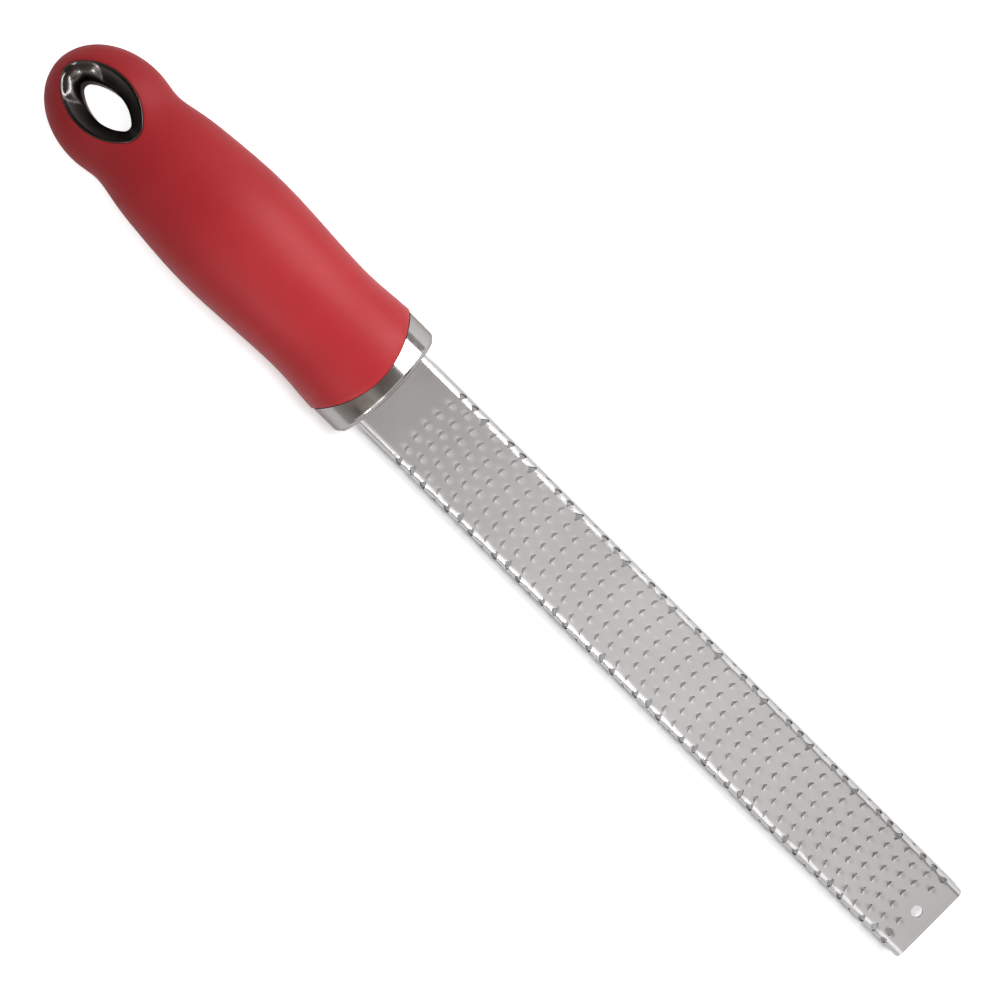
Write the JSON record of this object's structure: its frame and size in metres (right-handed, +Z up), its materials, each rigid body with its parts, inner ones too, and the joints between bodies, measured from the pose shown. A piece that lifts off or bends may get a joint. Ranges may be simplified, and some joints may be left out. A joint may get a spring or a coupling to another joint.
{
  "type": "rasp zester",
  "caption": "Long narrow rasp zester: etched, folded steel blade fixed in a rounded soft red grip with a chrome ferrule and a chrome-lined hanging hole.",
  "frame": {"origin": "middle of the underside of the whole tool's box, straight under the middle of its length", "axes": "+X along the tool from the hanging hole to the blade's tip, +Z up from the toothed face, +Y across the blade"},
  "size_m": [0.3264, 0.037, 0.0295],
  "materials": {
    "blade_steel": "satin etched stainless sheet",
    "chrome_trim": "bright chrome plating on hard plastic",
    "core_plastic": "plain moulded plastic, hidden under the grip",
    "pin_steel": "plain ground steel",
    "grip_rubber": "matte soft-touch moulding, deep red"
  },
  "bodies": {
    "root": {"rasp_blade": "blade_steel", "front_ferrule": "chrome_trim", "core_upper": "core_plastic", "core_lower": "core_plastic", "tang_pins": "pin_steel", "eyelet_upper": "chrome_trim", "eyelet_lower": "chrome_trim", "soft_grip": "grip_rubber"}
  },
  "joints": []
}
